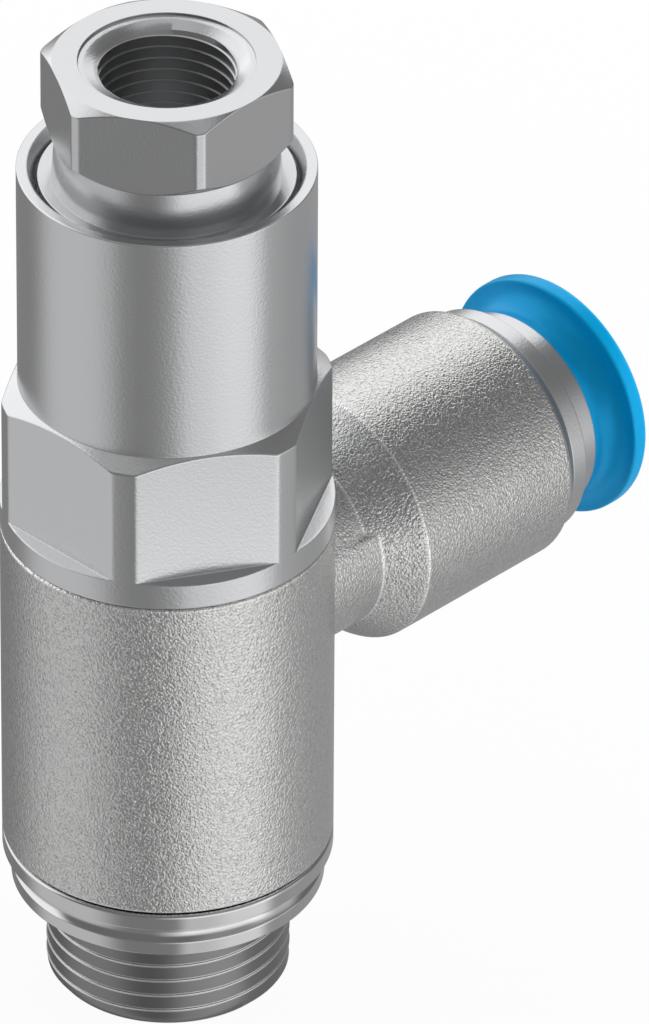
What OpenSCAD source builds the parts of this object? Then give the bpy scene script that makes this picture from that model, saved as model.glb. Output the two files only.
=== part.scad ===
// Pilot operated non-return valve with a screw-in thread, a swivelling
// push-in outlet and a pilot port on top. Millimetres. The main axis is Z,
// the outlet points along +X, and z = 0 is the face that seats on the port.

/* [Port 2, the screw-in end] */
// Outside diameter of the male thread, a half inch parallel pipe thread
thread_d = 20.955; // [20:0.005:22]
// Length of the male thread below the seat face
thread_len = 9.6; // [8:0.1:12]
// Chamfer at the thread's free end
thread_chamfer = 0.65; // [0.3:0.05:1]
// Flow bore through the screw-in end
inlet_bore_d = 12.4; // [11:0.1:12.8]
// Diameter of the collar, the swivel ring and the flange, which are flush
body_d = 28.4; // [28:0.1:32]
// Height of the collar's cylindrical band
collar_h = 1.5; // [1.2:0.05:3]
// Diameter of the skirt under the collar
skirt_d = 26.9; // [26.6:0.1:27.6]
// Height of the skirt
skirt_h = 1.25; // [1.2:0.05:2]
// Width of the hollow between the skirt and the collar
hollow_h = 1.8; // [1.4:0.05:2.2]
// Radius of the fillet in the hollow
hollow_fillet = 0.9; // [0.6:0.05:1]
// Width of the captive sealing ring
port_seal_w = 1.9; // [1.6:0.1:2]
// Thickness of the captive sealing ring
port_seal_t = 1.3; // [1.2:0.1:1.4]
// How far the sealing ring stands proud of the skirt
port_seal_proud = 0.1; // [0.1:0.05:0.3]

/* [Valve stem, inside the swivel] */
// Outside diameter of the stem
stem_d = 18.8; // [18.4:0.1:20]
// Length of the journal that the screw-in end gives the swivel
journal_h = 6.35; // [5.5:0.05:7]
// Length of the spigot that screws into the stem
spigot_h = 6; // [4:0.1:7]
// Outside diameter of the spigot
spigot_d = 16; // [15.8:0.1:16.8]
// Bore of the check valve's chamber
chamber_d = 14; // [13.6:0.1:14.2]
// Bore of the valve seat
seat_bore_d = 9.2; // [8:0.1:9.6]
// Height of the raised lip that the poppet closes on
seat_lip_h = 0.4; // [0.2:0.1:0.8]
// Thickness of the web that holds the seat
seat_web = 2.8; // [2:0.1:3.4]
// Bore of the gallery above the seat
gallery_d = 11.2; // [10.4:0.1:12]
// Diameter of each cross hole into the gallery
cross_hole_d = 5.6; // [4:0.1:6]
// Section of the O-rings that seal the swivel
swivel_oring_d = 1.5; // [1.2:0.1:1.7]

/* [Housing] */
// Height of the round flange under the spanner flats
flange_h = 2.3; // [1.8:0.1:4]
// Height of the spanner flats at the corners
hex_h = 10.95; // [9:0.05:14]
// Spanner size of the housing
hex_af = 25.6; // [25.4:0.1:27]
// Fillet at the foot of each flat
hex_fillet = 0.6; // [0.3:0.1:1]
// Height of the cone from the hexagon to the sleeve
hex_cone_h = 0.95; // [0.6:0.05:1.5]
// Outside diameter of the sleeve
sleeve_d = 25.2; // [24.8:0.1:25.3]
// Length of the sleeve above the hexagon
sleeve_len = 20.95; // [20:0.05:30]
// Bore of the pilot cylinder
cylinder_d = 22.2; // [21.8:0.1:22.6]
// Diameter of the chamfered mouth of the sleeve
mouth_d = 23.36; // [23:0.02:23.8]
// Depth of the mouth's chamfer
mouth_chamfer_h = 1.15; // [0.8:0.05:1.4]
// Thickness of the floor under the pilot cylinder
floor_t = 4.85; // [4:0.05:6]

/* [Swivel body] */
// Height of the swivel ring
swivel_h = 31.3; // [30:0.1:36]
// Height of the outlet's axis above the swivel's underside
outlet_rise = 22.05; // [21:0.05:22.4]
// Height of the ring channel inside the swivel
channel_h = 13; // [10:0.1:13.4]
// Height of the sealing land above the ring channel
upper_land_h = 2.75; // [2.7:0.05:3.4]
// Diameter of the ring channel inside the swivel
channel_d = 23; // [22:0.1:24]
// Diameter of the upper half of the outlet's neck
neck_upper_d = 16.7; // [13:0.1:17]
// Diameter of the lower half of the outlet's neck
neck_lower_d = 18.1; // [17.4:0.1:20]
// Height of the neck's step above the outlet's axis
neck_step = 3.3; // [2:0.1:4]
// Distance from the main axis to the shoulder's small end
shoulder_x = 17; // [16.4:0.1:19]
// Length of the conical shoulder
shoulder_len = 3.1; // [2:0.1:4]
// Diameter of the cast barrel
barrel_d = 23.1; // [23:0.1:25]
// Length of the cast barrel
barrel_len = 18.7; // [18:0.1:22]
// Length of the turned bevel at the barrel's mouth
barrel_bevel_w = 1.3; // [0.8:0.1:1.6]
// Depth of the turned bevel at the barrel's mouth
barrel_bevel_h = 0.95; // [0.5:0.05:1]
// Bore between the ring channel and the tube socket
outlet_bore_d = 9.2; // [8:0.1:10.4]

/* [Push-in socket] */
// Diameter of the tube that the socket takes
tube_d = 12; // [11.8:0.1:12.2]
// Clearance on the diameter round the tube in its pocket
tube_clearance = 0.16; // [0.1:0.02:0.2]
// Depth of the pocket that guides the tube's end
tube_pocket = 7.5; // [6:0.1:9]
// Bore of the seal's pocket
tube_seal_d = 16; // [15.6:0.1:16.6]
// Depth of the seal's pocket
tube_seal_pocket = 3; // [2.6:0.1:4]
// Diameter of the cartridge's spigot in the barrel
cartridge_spigot_d = 19.8; // [19.4:0.1:20]
// Length of the cartridge's spigot in the barrel
cartridge_spigot_len = 5.8; // [5.6:0.1:6.4]
// Diameter of the cartridge's bright flange
cartridge_d = 21.1; // [20.8:0.1:21.2]
// Width of the cartridge's bright flange
cartridge_w = 1.6; // [1.4:0.05:3]
// Bore of the cartridge round the gripping ring
cartridge_bore_d = 17.2; // [16.8:0.1:17.6]
// Diameter of the tapered cap ring at its foot
cap_d = 20.9; // [20:0.1:21]
// Diameter of the tapered cap ring at its front
cap_nose_d = 18.1; // [18:0.1:19]
// Width of the cap ring
cap_w = 2.6; // [1.6:0.1:3]
// Thickness of the seal's backing ring
backing_t = 0.95; // [0.6:0.05:1.2]
// Width of the gripping ring's rim
grip_rim_w = 0.6; // [0.4:0.05:0.9]
// Number of gripping teeth
grip_teeth = 12; // [8:1:16]
// Outside diameter of the release ring's neck
release_neck_d = 17.2; // [16.8:0.1:17.6]
// Outside diameter of the release ring's disc
release_disc_d = 21.92; // [20:0.02:24]
// Thickness of the release ring's disc
release_disc_t = 1.65; // [1.2:0.05:2.5]
// Distance from the cap to the disc's near face
release_reach = 2.95; // [2.9:0.05:5]
// Radius of the hollow fillet behind the disc
release_fillet = 1.9; // [1:0.1:1.9]
// Travel of the release ring when it is pressed
release_travel = 1.6; // [1:0.1:1.6]

/* [Pilot connector] */
// Minor diameter of the pilot thread, a quarter inch parallel pipe thread
pilot_thread_d = 11.445; // [11:0.005:12]
// Length of the pilot thread's bore
pilot_thread_len = 11; // [8:0.1:11.4]
// Diameter of the countersink at the pilot thread
countersink_d = 15; // [14:0.1:16]
// Spanner size of the pilot connector
pilot_af = 19.1; // [19:0.1:19.8]
// Diameter over the corners of the pilot connector
pilot_corner_d = 21.64; // [21.4:0.02:22.2]
// Height of the pilot connector's hexagon
pilot_hex_h = 7.3; // [6:0.1:10]
// Height of the chamfer above the corners
pilot_top_chamfer = 0.75; // [0.5:0.05:1]
// Height of the chamfer below the corners
pilot_foot_chamfer = 1.2; // [0.6:0.05:1.5]
// Height of the neck above the dished flange
pilot_neck_h = 3.35; // [2.5:0.05:6]
// How far the dished flange lies below the sleeve's rim
pilot_flange_drop = 0.35; // [0.2:0.05:0.6]
// Diameter of the dished flange's edge
pilot_flange_d = 21.66; // [21:0.02:21.8]
// Depth of the connector inside the sleeve
connector_depth = 10.7; // [9.8:0.1:11.4]
// Diameter of the pilot passage
pilot_passage_d = 4; // [2:0.1:5]
// Diameter of the wire of the retaining ring
retainer_wire_d = 1.1; // [0.9:0.05:1.2]
// Section of the connector's O-ring
connector_oring_d = 1.5; // [1.2:0.1:1.7]

/* [Pilot piston] */
// Height of the piston
piston_h = 7.3; // [7:0.1:8.5]
// Stroke of the piston and of the poppet
stroke = 3.5; // [2:0.1:3.8]
// Section of the piston's O-ring
piston_oring_d = 1.6; // [1.2:0.1:1.7]
// Width of the piston's guide band
band_w = 1.5; // [1:0.1:1.8]
// Diameter of the push rod
rod_d = 4; // [3:0.1:5]
// Diameter of the guide bush in the floor
bush_d = 9; // [8:0.1:9.6]
// Length of the guide bush below its flange
bush_len = 8; // [6:0.1:9]
// Thickness of the guide bush's flange
bush_flange_t = 1; // [0.6:0.1:1.4]
// Mean diameter of the return spring
return_spring_d = 16.8; // [16.4:0.1:17.2]
// Wire of the return spring
return_wire_d = 1.4; // [1:0.05:1.5]
// Turns of the return spring
return_turns = 6; // [4:0.5:7]

/* [Check poppet] */
// Diameter of the poppet's head
poppet_d = 11.6; // [11:0.1:12]
// Height of the poppet's head
poppet_head_h = 3; // [2:0.1:3.4]
// Thickness of the poppet's sealing disc
disc_t = 1.5; // [1:0.1:2]
// Diameter of the poppet's guide stem
poppet_stem_d = 3.2; // [2.4:0.1:3.6]
// Thickness of the poppet's guide star
star_t = 3; // [2:0.1:3.4]
// Arms of the guide star
star_arms = 3; // [3:1:5]
// Mean diameter of the poppet's spring
poppet_spring_d = 8.4; // [8:0.1:9]
// Wire of the poppet's spring
poppet_wire_d = 0.9; // [0.6:0.05:1]
// Turns of the poppet's spring
poppet_turns = 5; // [4:0.5:5.5]

/* [Clearances] */
// Running clearance on the radius between turning or sliding parts
run = 0.05; // [0.03:0.01:0.08]
// Clearance on the radius between parts that are fitted together
fit = 0.02; // [0.01:0.01:0.04]
// Axial play of the swivel between its two faces
play = 0.1; // [0.05:0.05:0.2]
// Gap at rest between faces that meet when the valve works
touch = 0.3; // [0.2:0.05:0.4]

/* [Hidden] */
$fn = 96;

// Small features that many pieces share
edge = 0.3;          // chamfer on a turned edge
fine_edge = 0.15;    // broken edge where two pieces lie flush
lead = 0.4;          // lead-in for a ring or a press fit
past = 1;            // how far a cutter runs past the face that it opens
reach = 2 * body_d;  // longer than any piece is wide

// Heights on the main axis, from the seat face up
skirt_top = port_seal_proud + skirt_h;
collar_z = skirt_top + hollow_h;
collar_top = collar_z + collar_h;
journal_top = collar_top + journal_h;
spigot_top = journal_top + spigot_h;
swivel_z = collar_top + play;
swivel_top = swivel_z + swivel_h;
outlet_z = swivel_z + outlet_rise;
flange_z = swivel_top + play;
hex_z = flange_z + flange_h;
hex_top = hex_z + hex_h;
sleeve_z = hex_top + hex_cone_h;
rim_z = sleeve_z + sleeve_len;
floor_z = flange_z + floor_t;

// The stem's own features
chamber_wall = 1.2;
chamber_top = spigot_top + fit + chamber_wall;
seat_z = chamber_top - seat_lip_h;
gallery_z = chamber_top + seat_web;
gallery_relief = 1.5;
gallery_top = floor_z - bush_len - gallery_relief;
channel_top = swivel_top - upper_land_h;
channel_z = channel_top - channel_h;
channel_slope = 1.2;
waist_depth = 0.9;
lower_oring_z = collar_top + journal_h / 2 + edge;
upper_oring_z = swivel_top - (upper_land_h + lead) / 2;
journal_oring_d = swivel_oring_d - 0.1;
oring_groove = 0.3;
seal_land_r = thread_d / 2 - 0.25;
inner_shoulder = 0.7;
inlet_chamfer = 0.8;

// The poppet's stack below the seat
poppet_closed = seat_z - run;
disc_z = poppet_closed - disc_t;
poppet_z = disc_z - poppet_head_h;
star_z = inner_shoulder;
star_top = star_z + star_t;
star_rim_t = 0.9;
star_boss_t = 1.2;
star_arm_w = 1.2;
star_seat_t = 1;
spring_recess = 0.8;
clamp_head_h = 0.6;
clamp_head_d = 5.2;
clamp_top = poppet_closed + clamp_head_h;
clamp_shank_d = 2.4;
clamp_depth = 1.75;
poppet_stem_end = star_z + 0.2;

// The pilot side
connector_z = rim_z - connector_depth;
piston_top = connector_z - touch;
piston_z = piston_top - piston_h;
rod_tip = clamp_top + touch;
piston_crown = 1.6;
rod_top = piston_top - piston_crown;
piston_pocket_h = 2.4;
pocket_room = 1;
pocket_inner_d = return_spring_d - return_wire_d - pocket_room;
pocket_outer_d = return_spring_d + return_wire_d + pocket_room;
piston_oring_z = piston_z + piston_h * 0.72;
band_foot = 1;
band_z = piston_z + band_foot;
band_t = 0.8;
band_split = 0.6;
bush_flange_w = 1.6;
bush_wall = 1.5;
bush_stop_z = piston_z - stroke - run;
breather_w = 1.2;
breather_depth = 0.6;

// The connector's stack
connector_top = rim_z - pilot_flange_drop + pilot_neck_h + pilot_hex_h;
pilot_hex_z = connector_top - pilot_hex_h;
pilot_neck_z = pilot_hex_z - pilot_neck_h;
connector_r = cylinder_d / 2 - run;
flange_dish = 0.5;
flange_edge_t = 1;
flange_edge_z = pilot_neck_z - flange_dish;
flange_step_z = flange_edge_z - flange_edge_t;
retainer_depth = 4.3;
retainer_z = rim_z - retainer_depth;
retainer_gap = 20;  // degrees
connector_oring_rise = 2.6;
connector_oring_z = connector_z + connector_oring_rise;
countersink_h = (countersink_d - pilot_thread_d) / 2 * 0.87;
pilot_bore_z = connector_top - countersink_h - pilot_thread_len;
bore_tip = 2;
passage_rim = 4;
passage_recess_h = 0.8;

// The outlet's stack along X
barrel_x = shoulder_x + shoulder_len;
barrel_end = barrel_x + barrel_len;
spigot_x = barrel_end - cartridge_spigot_len;
seal_pocket_x = spigot_x - tube_seal_pocket;
pocket_x = seal_pocket_x - tube_pocket;
pocket_r = (tube_d + tube_clearance) / 2;
guide_r = pocket_r + 0.07;
cap_x = barrel_end + fit + cartridge_w;
cap_end = cap_x + fit + cap_w;
cap_land = 0.3;
cap_lead_w = 0.5;
cap_lead_h = 0.25;
disc_x = cap_end + release_reach;
release_end = disc_x + release_disc_t;
disc_round = 0.5;
mouth_round = 1;
lip_w = 0.75;
lip_h = 0.6;
lip_x = cap_x - run - lip_w;
lip_r = release_neck_d / 2 + lip_h;
lip_stop_x = lip_x - release_travel - run;
grip_x = spigot_x + fit + backing_t;
grip_cone_w = 1.2;
grip_sheet = 0.5;
grip_slot = 0.6;
grip_rim_x = grip_x + grip_cone_w;
grip_end = grip_rim_x + grip_rim_w;
nose_wall = 1.25;
nose_r = cartridge_bore_d / 2 - nose_wall;
nose_x = grip_end + release_travel + run;
barrel_round = 0.2;

metal = [0.78, 0.79, 0.80];
cast_metal = [0.66, 0.67, 0.68];
rubber = [0.08, 0.08, 0.09];
brass = [0.72, 0.62, 0.36];
steel = [0.60, 0.61, 0.63];
blue = [0.0, 0.50, 0.85];
white_plastic = [0.86, 0.86, 0.83];

// A profile of radius and height pairs turned about the main axis
module turned(points) {
    rotate_extrude() polygon(points);
}

// The same, turned about the outlet's axis, with heights measured along X
module turned_x(points) {
    translate([0, 0, outlet_z]) rotate([0, 90, 0]) rotate_extrude() polygon(points);
}

// A cylinder on the outlet's axis from one X to another
module rod_x(from, to, r) {
    translate([from, 0, outlet_z]) rotate([0, 90, 0]) cylinder(r = r, h = to - from);
}

// An O-ring of section d whose outside just meets radius r
module oring(r, d, z) {
    translate([0, 0, z]) rotate_extrude() translate([r - d / 2, 0]) circle(d = d, $fn = 32);
}

// The groove that holds such a ring, cut into a shaft of radius r
module oring_cut(r, d, z) {
    translate([0, 0, z - d / 2 - oring_groove])
        difference() {
            cylinder(r = r + past, h = d + 2 * oring_groove);
            translate([0, 0, -past]) cylinder(r = r - d - fit, h = d + 2 * (oring_groove + past));
        }
}

// Height of a spring's wire after t turns, with one closed turn at either end
function coil_height(t, turns, pitch, h) =
    t < 1 ? pitch * t
    : t > turns - 1 ? h - pitch * (turns - t)
    : pitch + (h - 2 * pitch) * (t - 1) / (turns - 2);

// A spring of round wire standing on z = 0, as one closed tube
module coil(d, wire, h, turns) {
    sides = 8;
    steps = 20;
    closed_pitch = 1.02 * wire;
    n = turns * steps;
    rings = [for (i = [0:n])
             let (t = i / steps, a = 360 * t,
                  z = wire / 2 + coil_height(t, turns, closed_pitch, h - wire))
             for (j = [0:sides - 1])
             let (b = 360 * j / sides, r = (d + wire * cos(b)) / 2)
             [r * cos(a), r * sin(a), z + wire / 2 * sin(b)]];
    sides_faces = [for (i = [0:n - 1], j = [0:sides - 1]) let (k = (j + 1) % sides)
                   each [[i * sides + j, i * sides + k, (i + 1) * sides + k],
                         [i * sides + j, (i + 1) * sides + k, (i + 1) * sides + j]]];
    first = [[for (j = [0:sides - 1]) sides - 1 - j]];
    last = [[for (j = [0:sides - 1]) n * sides + j]];
    polyhedron(points = rings, faces = concat(sides_faces, first, last), convexity = 10);
}

// Screw-in end: thread, skirt, collar, journal and spigot in one turned piece
module thread_nipple() {
    hollow_r = skirt_d / 2 - hollow_fillet;
    seal_r = seal_land_r + port_seal_w + fit;
    color(metal) difference() {
        turned([[0, -thread_len], [thread_d / 2 - thread_chamfer, -thread_len],
                [thread_d / 2, -thread_len + thread_chamfer], [thread_d / 2, 0],
                [seal_land_r, 0], [seal_land_r, port_seal_t],
                [seal_r, port_seal_t], [seal_r, port_seal_proud],
                [skirt_d / 2, port_seal_proud], [skirt_d / 2, skirt_top],
                for (a = [75:-15:15]) [hollow_r + hollow_fillet * (1 - cos(a)),
                                       skirt_top + hollow_fillet * (1 - sin(a))],
                [hollow_r, skirt_top + hollow_fillet], [hollow_r, collar_z],
                [body_d / 2, collar_z], [body_d / 2, collar_top - fine_edge],
                [body_d / 2 - fine_edge, collar_top], [stem_d / 2, collar_top],
                [stem_d / 2, journal_top], [spigot_d / 2, journal_top],
                [spigot_d / 2, spigot_top - lead], [spigot_d / 2 - lead, spigot_top],
                [0, spigot_top]]);
        oring_cut(stem_d / 2, journal_oring_d, lower_oring_z);
        turned([[0, -thread_len - past], [inlet_bore_d / 2 + inlet_chamfer, -thread_len - past],
                [inlet_bore_d / 2 + inlet_chamfer, -thread_len],
                [inlet_bore_d / 2, -thread_len + inlet_chamfer],
                [inlet_bore_d / 2, inner_shoulder], [chamber_d / 2, inner_shoulder],
                [chamber_d / 2, spigot_top + past], [0, spigot_top + past]]);
    }
}

// Captive ring that seals the screwed joint, proud of the skirt
module port_seal_ring() {
    inner_r = seal_land_r + fit;
    outer_r = seal_land_r + port_seal_w;
    color(rubber) turned([[inner_r, edge], [inner_r + edge, 0], [outer_r - edge, 0], [outer_r, edge],
            [outer_r, port_seal_t - fit], [inner_r, port_seal_t - fit]]);
}

// One spanner flat's cutter, with the fillet at its foot
module flat_cut(af, z, top, fillet) {
    rotate([90, 0, 0]) linear_extrude(height = reach, center = true) difference() {
        translate([af / 2, z]) square([reach, top - z + past]);
        difference() {
            translate([af / 2 - past, z - past]) square([fillet + past, fillet + past]);
            translate([af / 2 + fillet, z + fillet]) circle(r = fillet, $fn = 32);
        }
    }
}

// Housing: stem with the seat, flange, hexagon and sleeve with the cylinder
module valve_housing() {
    r = stem_d / 2;
    waist = r - waist_depth;
    waist_h = cross_hole_d / 2 + edge;
    wire_r = retainer_wire_d / 2;
    color(metal) difference() {
        turned([[0, journal_top + fit], [r, journal_top + fit],
                [r, outlet_z - waist_h - waist_depth], [waist, outlet_z - waist_h],
                [waist, outlet_z + waist_h], [r, outlet_z + waist_h + waist_depth],
                [r, flange_z], [body_d / 2 - fine_edge, flange_z], [body_d / 2, flange_z + fine_edge],
                [body_d / 2, hex_top], [sleeve_d / 2, sleeve_z],
                [sleeve_d / 2, rim_z - fine_edge], [sleeve_d / 2 - fine_edge, rim_z], [0, rim_z]]);
        for (a = [0:60:300]) rotate(a) flat_cut(hex_af, hex_z, sleeve_z, hex_fillet);
        oring_cut(r, journal_oring_d, upper_oring_z);
        for (a = [0, 90]) rotate(a) translate([0, 0, outlet_z]) rotate([0, 90, 0])
            cylinder(d = cross_hole_d, h = stem_d + 2 * past, center = true, $fn = 48);
        turned([[0, journal_top - past], [spigot_d / 2 + fit, journal_top - past],
                [spigot_d / 2 + fit, spigot_top + fit], [chamber_d / 2, spigot_top + fit],
                [chamber_d / 2, chamber_top], [seat_bore_d / 2 + 3 * seat_lip_h, chamber_top],
                [seat_bore_d / 2 + seat_lip_h, seat_z], [seat_bore_d / 2, seat_z],
                [seat_bore_d / 2, gallery_z], [gallery_d / 2, gallery_z + 2 * edge],
                [gallery_d / 2, gallery_top], [bush_d / 2 + fit, gallery_top + edge],
                [bush_d / 2 + fit, floor_z], [cylinder_d / 2, floor_z],
                [cylinder_d / 2, retainer_z - wire_r - run],
                [cylinder_d / 2 + wire_r, retainer_z - wire_r - run],
                [cylinder_d / 2 + wire_r, retainer_z + wire_r + run],
                [cylinder_d / 2, retainer_z + wire_r + run],
                [cylinder_d / 2, rim_z - mouth_chamfer_h], [mouth_d / 2, rim_z],
                [mouth_d / 2, rim_z + past], [0, rim_z + past]]);
    }
}

// Cast swivel: ring, stepped neck, shoulder and barrel
module swivel_body() {
    bore_r = stem_d / 2 + run;
    shoulder_slope = shoulder_len / (barrel_d - neck_lower_d);
    cone_x = shoulder_x - (neck_lower_d - neck_upper_d) * shoulder_slope;
    color(cast_metal) difference() {
        union() {
            turned([[0, swivel_z], [body_d / 2 - edge, swivel_z], [body_d / 2, swivel_z + edge],
                    [body_d / 2, swivel_top - fine_edge], [body_d / 2 - fine_edge, swivel_top],
                    [0, swivel_top]]);
            rod_x(0, shoulder_x + past, neck_upper_d / 2);
            intersection() {
                rod_x(0, shoulder_x + past, neck_lower_d / 2);
                translate([0, -reach / 2, 0]) cube([reach, reach, outlet_z + neck_step]);
            }
            turned_x([[0, cone_x], [neck_upper_d / 2, cone_x],
                      [barrel_d / 2 - barrel_round, barrel_x - edge],
                      [barrel_d / 2, barrel_x], [barrel_d / 2, barrel_end - barrel_bevel_w],
                      [barrel_d / 2 - barrel_bevel_h, barrel_end], [0, barrel_end]]);
        }
        turned([[0, swivel_z - past], [bore_r + lead, swivel_z - past], [bore_r + lead, swivel_z],
                [bore_r, swivel_z + lead], [bore_r, channel_z],
                [channel_d / 2, channel_z + channel_slope],
                [channel_d / 2, channel_top - channel_slope], [bore_r, channel_top],
                [bore_r, swivel_top - lead], [bore_r + lead, swivel_top],
                [bore_r + lead, swivel_top + past], [0, swivel_top + past]]);
        turned_x([[0, past], [outlet_bore_d / 2, past], [outlet_bore_d / 2, pocket_x],
                  [pocket_r, pocket_x], [pocket_r, seal_pocket_x],
                  [tube_seal_d / 2, seal_pocket_x], [tube_seal_d / 2, spigot_x],
                  [cartridge_spigot_d / 2 + fit, spigot_x],
                  [cartridge_spigot_d / 2 + fit, barrel_end + past], [0, barrel_end + past]]);
    }
}

// O-rings that seal the swivel on its stem, below and above the ring channel
module lower_swivel_oring() {
    color(rubber) oring(stem_d / 2, journal_oring_d, lower_oring_z);
}

module upper_swivel_oring() {
    color(rubber) oring(stem_d / 2, journal_oring_d, upper_oring_z);
}

// Poppet: head with the disc's recess above and the spring's seat below
module check_poppet() {
    recess_in = (poppet_spring_d - poppet_wire_d) / 2 - edge;
    recess_out = (poppet_spring_d + poppet_wire_d) / 2 + edge;
    color(brass) difference() {
        turned([[0, poppet_stem_end], [poppet_stem_d / 2 - edge, poppet_stem_end],
                [poppet_stem_d / 2, poppet_stem_end + edge], [poppet_stem_d / 2, poppet_z],
                [recess_in, poppet_z], [recess_in, poppet_z + spring_recess],
                [recess_out, poppet_z + spring_recess], [recess_out, poppet_z],
                [poppet_d / 2 - edge, poppet_z], [poppet_d / 2, poppet_z + edge],
                [poppet_d / 2, disc_z], [0, disc_z]]);
        translate([0, 0, disc_z - clamp_depth - run])
            cylinder(d = clamp_shank_d + 2 * fit, h = clamp_depth + past);
    }
}

// Rubber disc that closes on the seat's lip
module poppet_seal_disc() {
    color(rubber) difference() {
        translate([0, 0, disc_z]) cylinder(d = poppet_d - 0.2, h = disc_t);
        translate([0, 0, disc_z - past])
            cylinder(d = clamp_shank_d + 2 * fit, h = disc_t + 2 * past);
    }
}

// Screw that clamps the disc to the poppet, and that the push rod lands on
module poppet_clamp_screw() {
    color(steel) turned([[0, disc_z - clamp_depth], [clamp_shank_d / 2, disc_z - clamp_depth],
            [clamp_shank_d / 2, poppet_closed], [clamp_head_d / 2, poppet_closed],
            [clamp_head_d / 2, clamp_top - fine_edge], [clamp_head_d / 2 - fine_edge, clamp_top],
            [0, clamp_top]]);
}

// Spring between the star and the poppet's recess
module poppet_spring() {
    h = poppet_z + spring_recess - star_top - 3 * fit;
    color(steel) translate([0, 0, star_top + fit])
        coil(poppet_spring_d, poppet_wire_d, h, poppet_turns);
}

// Star pressed into the screw-in end: guides the poppet, carries its spring
module poppet_guide_star() {
    rim_r = chamber_d / 2 - star_rim_t;
    seat_r = (poppet_spring_d + poppet_wire_d) / 2 + fine_edge;
    boss_r = poppet_stem_d / 2 + star_boss_t;
    cut_h = star_t + 2 * past;
    color(brass) translate([0, 0, star_z]) difference() {
        union() {
            difference() {
                cylinder(r = chamber_d / 2 - fit, h = star_t);
                translate([0, 0, -past]) cylinder(r = rim_r, h = cut_h);
            }
            translate([0, 0, star_t - star_seat_t]) cylinder(r = seat_r, h = star_seat_t);
            cylinder(r = boss_r, h = star_t);
            for (i = [0:star_arms - 1]) rotate(i * 360 / star_arms)
                translate([0, -star_arm_w / 2, 0]) cube([rim_r + star_rim_t / 2, star_arm_w, star_t]);
        }
        translate([0, 0, -past]) cylinder(r = poppet_stem_d / 2 + run, h = cut_h);
        for (i = [0:star_arms - 1]) rotate((i + 0.5) * 360 / star_arms)
            translate([(rim_r + boss_r) / 2, 0, -past])
                cylinder(r = (rim_r - boss_r) / 2 - fine_edge, h = cut_h, $fn = 32);
    }
}

// Bush that guides the push rod through the floor, with a breather groove.
// Its upper end stops the piston at the end of the stroke.
module rod_guide_bush() {
    bore_r = rod_d / 2 + run;
    flange_r = bush_d / 2 + bush_flange_w;
    flange_top = floor_z + bush_flange_t;
    color(brass) difference() {
        turned([[bore_r, floor_z - bush_len], [bush_d / 2 - edge, floor_z - bush_len],
                [bush_d / 2, floor_z - bush_len + edge], [bush_d / 2, floor_z + fit],
                [flange_r, floor_z + fit], [flange_r, flange_top],
                [bore_r + bush_wall, flange_top], [bore_r + bush_wall, bush_stop_z],
                [bore_r, bush_stop_z]]);
        translate([bush_d / 2 - breather_depth, -breather_w / 2, floor_z - bush_len - past])
            cube([bush_flange_w, breather_w, bush_len + past + bush_flange_t / 2]);
    }
}

// Rod that carries the piston's push to the poppet
module push_rod() {
    color(steel) turned([[0, rod_tip], [rod_d / 2 - lead, rod_tip], [rod_d / 2, rod_tip + lead],
            [rod_d / 2, rod_top], [0, rod_top]]);
}

// Piston: grooves for the band and the O-ring, a pocket for its spring
module pilot_piston() {
    color(metal) difference() {
        turned([[0, piston_z], [connector_r - edge, piston_z], [connector_r, piston_z + edge],
                [connector_r, piston_top - edge], [connector_r - edge, piston_top],
                [0, piston_top]]);
        oring_cut(connector_r, piston_oring_d, piston_oring_z);
        translate([0, 0, band_z]) difference() {
            cylinder(r = connector_r + past, h = band_w + 2 * fit);
            translate([0, 0, -past])
                cylinder(r = connector_r - band_t - fit, h = band_w + 2 * (fit + past));
        }
        turned([[pocket_inner_d / 2, piston_z - past], [pocket_outer_d / 2, piston_z - past],
                [pocket_outer_d / 2, piston_z + piston_pocket_h],
                [pocket_inner_d / 2, piston_z + piston_pocket_h]]);
        translate([0, 0, piston_z - past])
            cylinder(r = rod_d / 2 + fit, h = rod_top + fit - piston_z + past);
    }
}

module piston_oring() {
    color(rubber) oring(connector_r, piston_oring_d, piston_oring_z);
}

// Split band that keeps the piston's metal off the cylinder's wall
module piston_guide_band() {
    color(white_plastic) translate([0, 0, band_z + fit]) difference() {
        cylinder(r = connector_r, h = band_w);
        translate([0, 0, -past]) cylinder(r = connector_r - band_t, h = band_w + 2 * past);
        translate([0, -band_split / 2, -past])
            cube([connector_r + past, band_split, band_w + 2 * past]);
    }
}

// Spring between the floor and the piston's pocket
module piston_return_spring() {
    h = piston_z + piston_pocket_h - floor_z - 2 * fit;
    color(steel) translate([0, 0, floor_z + fit])
        coil(return_spring_d, return_wire_d, h, return_turns);
}

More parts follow.
